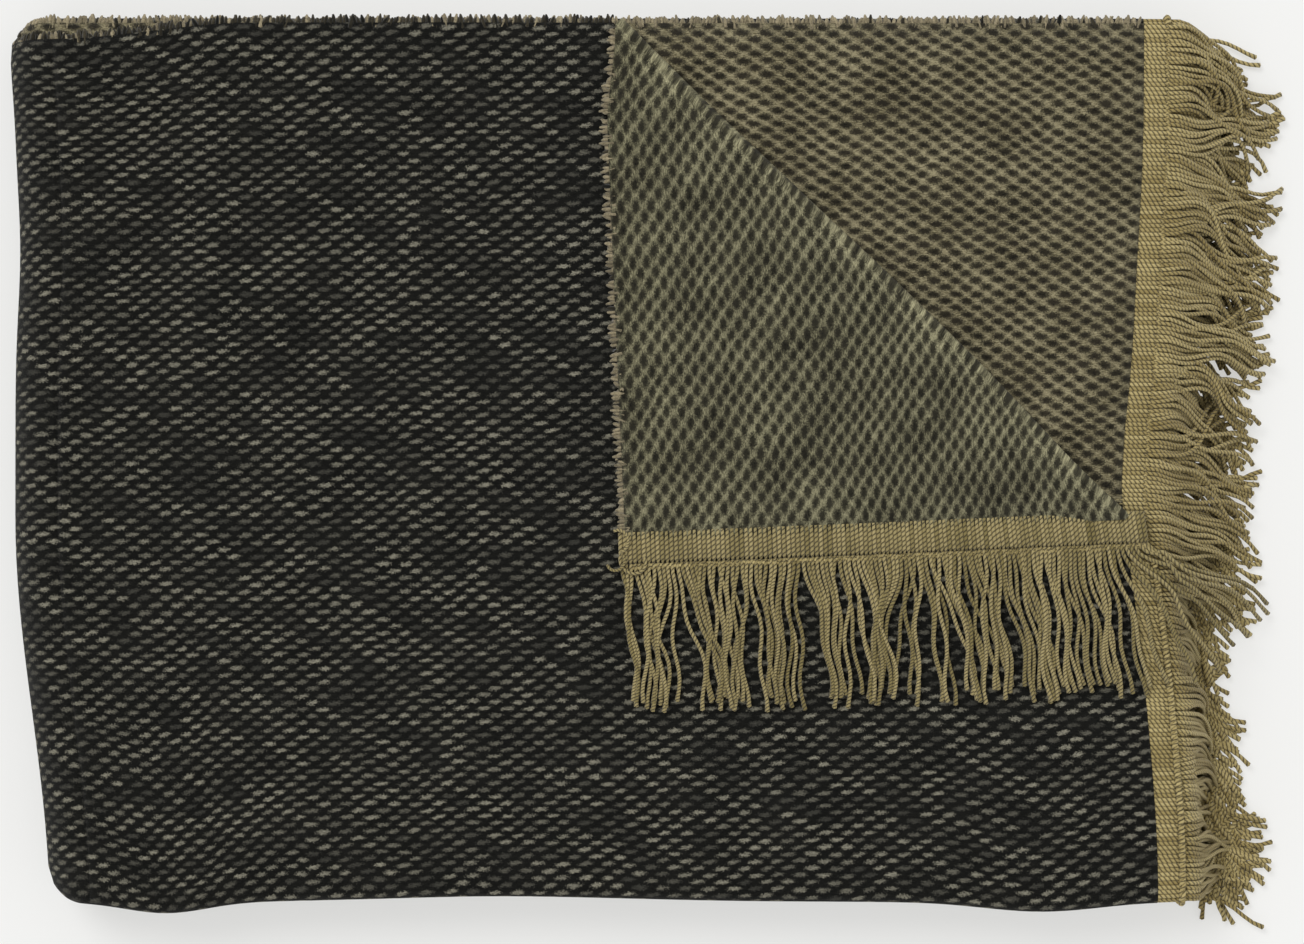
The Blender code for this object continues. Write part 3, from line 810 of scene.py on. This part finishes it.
def turned_cords():
    """Cords of the turned corner: across its tape, then down the front in drawn-together clumps.

    The heading starts square to the tape, swings by the clump's own angle and back, and wavers as a sine
    30 mm long. Beside the fold's lower end the cords fan out to the right instead. Past the stack's edge
    they sink by the way gone to the power 1.9.
    """
    low_y = crease_y(TAPE_OUT)
    at = np.arange(low_y + 2.6 * MM, SELVEDGE + 2 * CORD_PITCH, CORD_PITCH)
    count = len(at)
    level = FLAP_Z + 0.2 * MM
    plan = [np.stack(mirrored(np.full(count, across), at), -1) for across in (*TAPE_STOPS, LEAVES)]
    heights = level + MM * np.array([0.1, 0.5, 0.4, -0.3, -0.3])
    places = [np.insert(place, 2, height, -1) for place, height in zip(plan, heights)]
    stops = np.stack(places[:4], 1)
    tape_piece("turned_tape_cords", stops, "turned_corner", "turned_header_tape", SHADED_CORD)
    start = places[4]
    square = math.atan2(*(start - places[0])[0, :2][::-1])
    group, groups = clumps(count, 3, 8)
    fan = 1 - smooth(at - low_y, 3 * MM, 17 * MM)
    last = smooth(at, SELVEDGE - 9 * MM, SELVEDGE - 2 * MM)
    swing = uneven(0.02, 0.17, 0.10, group, groups) * (1 - last) + 0.08 * last
    wave = uneven_phase(0.6, group, groups)
    centre = clump_middle(at, group, groups)
    draw = RNG.uniform(0.05, 0.5, groups)[group]
    length = FRINGE_LENGTH * RNG.uniform(0.92, 1.04, count)
    step = length / CORD_STEPS
    rise = RNG.uniform(0, 1.8 * MM, count)
    x, y = start[:, 0].copy(), start[:, 1].copy()
    rows = [start]
    for k in range(1, CORD_STEPS + 1):
        gone = k * step
        heading = square + swing * (smooth(gone, 0, 22 * MM) - 1.3 * smooth(gone, 24 * MM, 60 * MM))
        heading = heading + 0.2 * np.sin(2 * np.pi * gone / (30 * MM) + wave) * smooth(gone, 0, 8 * MM)
        heading = heading + fan * (1.35 * smooth(gone, 0, 8 * MM) - 0.5 * smooth(gone, 20 * MM, 50 * MM))
        x = x + step * np.cos(heading)
        y = y + step * np.sin(heading)
        pull = draw * np.sin(np.pi * 0.55 * k / CORD_STEPS) * (centre - at)
        over = np.maximum(x - TAPE_OUT + 2 * MM, 0)
        sink = 26 * MM * (over / (38 * MM)) ** 1.9
        lie = level + rise * smooth(gone, 3 * MM, 20 * MM) - 0.5 * MM * smooth(gone, 0, 12 * MM)
        rows.append(np.stack([x - pull, y, lie - sink], -1))
    free_cords("turned_fringe_cords", rows, "turned_corner", ["turned_fringe"], SHADED_CORD, (0, 0, 1))


ROPE_TURN = 3.6 * MM  # way along the rope in which a ply goes once round
ROPE_OFFSET = 1.25 * MM  # from the middle of the cloth to the middle of the rope


def rope(name, centre, side, up, body, node):
    """An edge rope of two plies: each circles the route half a turn apart, once every 3.6 mm."""
    step = np.linalg.norm(np.diff(centre, axis=0), axis=-1)
    way = np.concatenate([[0], np.cumsum(step)])
    at = np.arange(0, way[-1], 0.4 * MM)
    route, out, rise = (
        np.stack([np.interp(at, way, values[:, k]) for k in range(3)], -1) for values in (centre, side, up)
    )
    angle = 2 * np.pi * at / ROPE_TURN
    plies = []
    for half in (0, np.pi):
        swirl = np.cos(angle + half)[:, None] * out + np.sin(angle + half)[:, None] * rise
        plies.append(relax(route) + 0.62 * MM * swirl)
    piece = tube_piece(name, np.stack(plies), 0.72 * MM, 6, CORD, (0.31, 0.0, 0.95), [0.4, 0.7])
    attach(piece, body)
    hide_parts(node)


def section_rope(name, strip, first_y, node):
    """The rope along a tape's outer edge, on the dark side, right round the folded section."""
    y, z = section_places(strip, 1.0 * MM, first_y)
    tangent = np.stack([np.zeros_like(y), np.gradient(y), np.gradient(z)], -1)
    tangent /= np.linalg.norm(tangent, axis=-1, keepdims=True)
    side = np.tile([1.0, 0, 0], (len(y), 1))
    normal = -facing(strip) * np.cross(side, tangent)
    centre = np.stack([np.full_like(y, LEAVES), y, z], -1) + normal * ROPE_OFFSET
    rope(name, centre, side, normal, "upper_half", node)


def turned_rope():
    """The same rope on the turned corner, where the dark side faces down."""
    count = 120
    ends = np.array([mirrored(LEAVES, y) for y in (crease_y(TAPE_OUT) + 3 * MM, SELVEDGE)])
    flat = ends[0] + (ends[1] - ends[0]) * np.linspace(0, 1, count)[:, None]
    centre = np.insert(flat, 2, FLAP_Z - 0.75 * MM, -1)
    along = np.append(ends[1] - ends[0], 0)
    along /= np.linalg.norm(along)
    side = np.tile(np.cross(along, [0, 0, 1]), (count, 1))
    up = np.tile([0.0, 0, 1], (count, 1))
    rope("turned_edge_rope", centre, side, up, "turned_corner", "turned_edge_cord")


def loose_ends():
    """Three ends of the tape's yarn at the turned corner's free end: flat loops that open as they go.

    Each is a spiral in plan, its radius halving over about three quarters of a turn, and arches slightly.
    """
    x, y = mirrored(TAPE_OUT - 5 * MM, SELVEDGE + 1.5 * MM)
    turn = np.linspace(0, 1, 16)[None]
    start = np.array([[2.6], [0.9], [-1.2]])
    radius = (6 - 3 * turn) * MM * np.array([[1.0], [0.75], [0.9]])
    angle = start + turn * np.array([[4.2], [-3.6], [3.0]])
    centre_x = x - radius[:, :1] * np.cos(start)
    centre_y = y - radius[:, :1] * np.sin(start)
    over = np.array([[0.0], [0.8], [1.6]]) * (1 - 0.6 * turn)
    height = FLAP_Z + (0.9 + 0.7 * np.sin(np.pi * turn) + over) * MM
    paths = np.stack([centre_x + radius * np.cos(angle), centre_y + radius * np.sin(angle), height], -1)
    shades = [0.6, 0.3, 0.8]
    piece = tube_piece("turned_tape_loose_ends", relax(paths), 0.6 * MM, 5, SHADED_CORD, (0, 0, 1), shades)
    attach(piece, "turned_corner")


def make_fringes():
    low_y = crease_y(TAPE_OUT) - 2 * MM
    hanging_cords("front", FRONT, low_y, ("front_fringe", "under_fringe"), "front_header_tape")
    hanging_cords("second", SECOND, SELVEDGE, ("second_fringe",), "second_header_tape")
    turned_cords()
    section_rope("front_edge_rope", FRONT, low_y - 1 * MM, "front_edge_cord")
    section_rope("second_edge_rope", SECOND, SELVEDGE, "second_edge_cord")
    turned_rope()
    loose_ends()


# ---------------------------------------------------------------- selvedge tufts

TUFT_Y = SELVEDGE - 0.3 * MM  # the tufts are rooted just inside the selvedge


def tufts(name, roots, out, shades):
    """Cut yarn ends along a selvedge: short stubs that lean at random from the edge's outward way."""
    count = len(roots)
    lean = RNG.normal(0, 0.24, (count, 3))
    lean[:, 2] *= 0.9
    aim = out + lean
    aim /= np.linalg.norm(aim, axis=-1, keepdims=True)
    length = RNG.uniform(2.0, 3.6, count)[:, None] * MM
    share = np.array([-0.5, 0.1, 0.6, 1.0])
    paths = relax(roots[:, None] + aim[:, None] * length[:, None] * share[:, None])
    paths[..., 2] = np.maximum(paths[..., 2], 0.9 * MM)
    radii = np.array([0.75, 0.85, 0.78, 0.35]) * MM * RNG.uniform(0.8, 1.15, (count, 1))
    piece = tube_piece(name, paths, radii, 4, YARN_ENDS, (0.2, 0.1, 1), shades)
    return piece


def tuft_shades(along, dark_share):
    """Shade of each tuft: dark or pale by chance, with the beat of the weave's dashes."""
    beat = 0.5 + 0.5 * np.sin(2 * np.pi * along / (DASH_PERIOD / 2 * MM))
    dark = RNG.uniform(0, 0.6, len(along)) + 0.4 * beat < dark_share
    return np.where(dark, RNG.uniform(0, 0.15, len(along)), RNG.uniform(0.55, 1, len(along)))


def tuft_row(x_start, x_end, z, dark_share):
    """Evenly spaced tuft roots along X at the selvedge, with some jitter, and their shades."""
    x = np.arange(x_start, x_end, TUFT_PITCH)
    x = x + RNG.normal(0, 0.2 * MM, len(x))
    roots = np.stack([x, np.full(len(x), TUFT_Y), z + RNG.normal(0, 0.3 * MM, len(x))], -1)
    return roots, tuft_shades(x, dark_share)


def tuft_bend(z, dark_share):
    """The same round a layer's quarter of the left fold."""
    radius = z - BOOK_Z
    size = abs(radius)
    turn = np.arange(0.5, np.pi / 2 * size / TUFT_PITCH) * TUFT_PITCH / size
    places = [BOOK_X - size * np.sin(turn), np.full(len(turn), TUFT_Y), BOOK_Z + radius * np.cos(turn)]
    return np.stack(places, -1), tuft_shades(turn * size, dark_share)


def selvedge_tufts(name, rows):
    """Tufts of several rows at once, pointing along +Y. Those of the top layer have slipped down with it."""
    roots = np.concatenate([row[0] for row in rows])
    from_hinge = np.hypot(np.minimum(roots[:, 0] - BOOK_X, 0), roots[:, 2] - BOOK_Z)
    top = (np.abs(from_hinge - WRAP_OUTER) < 0.8 * MM) & (roots[:, 2] > BOOK_Z)
    roots[:, 1] -= np.where(top, slip(roots[:, 0], roots[:, 1]), 0)
    out = np.tile([0.0, 1.0, 0], (len(roots), 1))
    return tufts(name, roots, out, np.concatenate([row[1] for row in rows]))


def make_tufts():
    straight, bent = {}, {}
    for strip in (FRONT, SECOND, THIRD, BASE):
        straight[strip], bent[strip] = [], []
        for offset, dark in ((OUTER, 0.72), (INNER, 0.2)):
            z = middle_z(strip) + facing(strip) * offset
            end = CLOTH_END if strip in (FRONT, SECOND) else CENTRE_X
            if strip == FRONT and offset == OUTER:
                end = HINGE[0]
            straight[strip].append(tuft_row(BOOK_X, end, z, dark))
            bent[strip].append(tuft_bend(z, dark))
    upper = selvedge_tufts("upper_selvedge_tufts", straight[FRONT] + straight[SECOND])
    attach(upper, "upper_half")
    lower = selvedge_tufts("lower_selvedge_tufts", straight[THIRD] + straight[BASE])
    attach(lower, "lower_half")
    outer = selvedge_tufts("left_outer_fold_tufts", bent[FRONT] + bent[BASE])
    bend_with_book(outer)
    inner = selvedge_tufts("left_inner_fold_tufts", bent[SECOND] + bent[THIRD])
    bend_with_book(inner)
    roots, shades = tuft_row(HINGE[0] + 2 * MM, CLOTH_END, FLAP_Z, 0.16)
    x, y = mirrored(roots[:, 0], roots[:, 1])
    out = np.array(mirrored(HINGE[0], HINGE[1] + 1)) - np.array(mirrored(HINGE[0], HINGE[1]))
    roots = np.stack([x, y, roots[:, 2]], -1)
    turned = tufts("turned_selvedge_tufts", roots, np.tile([*out, 0.0], (len(roots), 1)), shades)
    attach(turned, "turned_corner")


# ---------------------------------------------------------------- stage

FLOOR_HALF = 6.0
FLOOR_Z = -0.4 * MM
CAMERA_HEIGHT = 2.0
VIEW_WIDTH = 0.472  # what the camera takes in, at the top of the stack
SENSOR = 36  # mm


def make_floor():
    """A plain square, pale and lit from within, which softens the shadows."""
    plan = FLOOR_HALF * np.array([(-1, -1), (1, -1), (1, 1), (-1, 1)])
    made, _, shader = new_material("backlit_white_acrylic_table", 0.9, 0, 0.0)
    shader.inputs["Base Color"].default_value = linear("#a9a9a8")
    shader.inputs["Emission Color"].default_value = linear("#f1f1ef")
    shader.inputs["Emission Strength"].default_value = 0.59
    new_piece("floor", np.insert(plan, 2, FLOOR_Z, -1), [(0, 1, 2, 3)], (made,))


def make_light():
    """Soft light from all round, with a little more from the upper left."""
    world = bpy.data.worlds.new("soft_studio")
    world.use_nodes = True
    world.node_tree.nodes["Background"].inputs["Color"].default_value = (1, 1, 1, 1)
    world.node_tree.nodes["Background"].inputs["Strength"].default_value = 0.7
    bpy.context.scene.world = world
    sun = bpy.data.lights.new("key_softbox", "SUN")
    sun.energy = 1.15
    sun.angle = math.radians(28)
    key = bpy.data.objects.new("key_softbox", sun)
    key.rotation_euler = (math.radians(-26), math.radians(-24), 0)
    bpy.context.scene.collection.objects.link(key)


def make_camera():
    """Straight overhead."""
    lens = bpy.data.cameras.new("overhead")
    lens.sensor_width = SENSOR
    lens.lens = SENSOR * (CAMERA_HEIGHT - TOP_Z) / VIEW_WIDTH
    lens.clip_end = 20
    camera = bpy.data.objects.new("overhead", lens)
    camera.location = (2.3 * MM, -3.6 * MM, CAMERA_HEIGHT)
    bpy.context.scene.collection.objects.link(camera)
    bpy.context.scene.camera = camera
    bpy.context.scene.view_settings.view_transform = "Standard"


make_cloth()
make_fringes()
make_tufts()
make_floor()
make_light()
make_camera()
